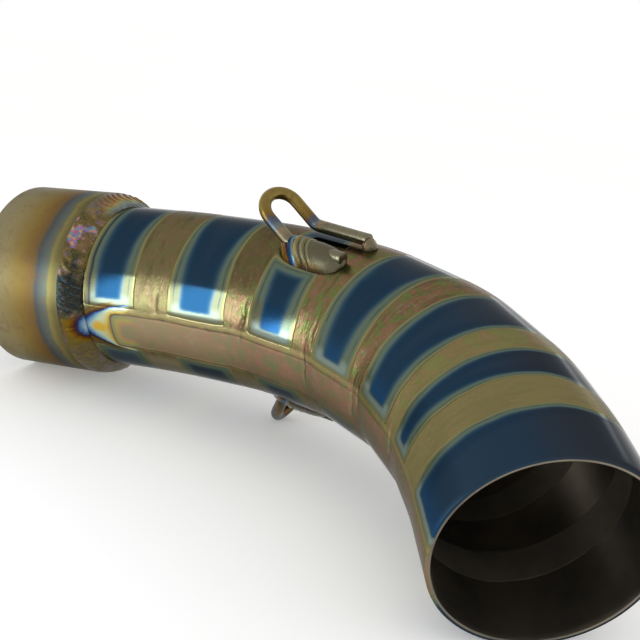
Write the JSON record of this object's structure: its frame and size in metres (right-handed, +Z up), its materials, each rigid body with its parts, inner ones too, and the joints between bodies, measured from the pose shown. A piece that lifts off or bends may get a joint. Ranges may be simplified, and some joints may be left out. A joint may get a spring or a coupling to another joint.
{
  "type": "exhaust header pipe",
  "caption": "Curved thin-walled exhaust header pipe, bent in short heated steps, with a welded slip socket at its inlet and wire spring hooks above and below.",
  "frame": {"origin": "centre of the inlet socket's mouth", "axes": "+X from the inlet mouth into the pipe, +Z up as the pipe lies at rest, the pipe turns towards -Y"},
  "size_m": [0.181, 0.1009, 0.0639],
  "materials": {
    "tinted_tube": "polished titanium with blue and bronze heat bands",
    "tinted_socket": "satin titanium with bronze and grey heat bands",
    "weld": "rippled weld metal with gold, violet and blue tints",
    "straw_wire": "satin wire, straw and grey tints",
    "dark_wire": "satin wire, dark bronze tint"
  },
  "bodies": {
    "root": {"header_tube": "tinted_tube", "inlet_socket": "tinted_socket", "socket_weld": "weld", "upper_spring_hook": "straw_wire", "upper_hook_long_weld": "weld", "upper_hook_tack_weld": "weld", "lower_spring_hook": "dark_wire", "lower_hook_long_weld": "weld", "lower_hook_tack_weld": "weld"}
  },
  "joints": []
}
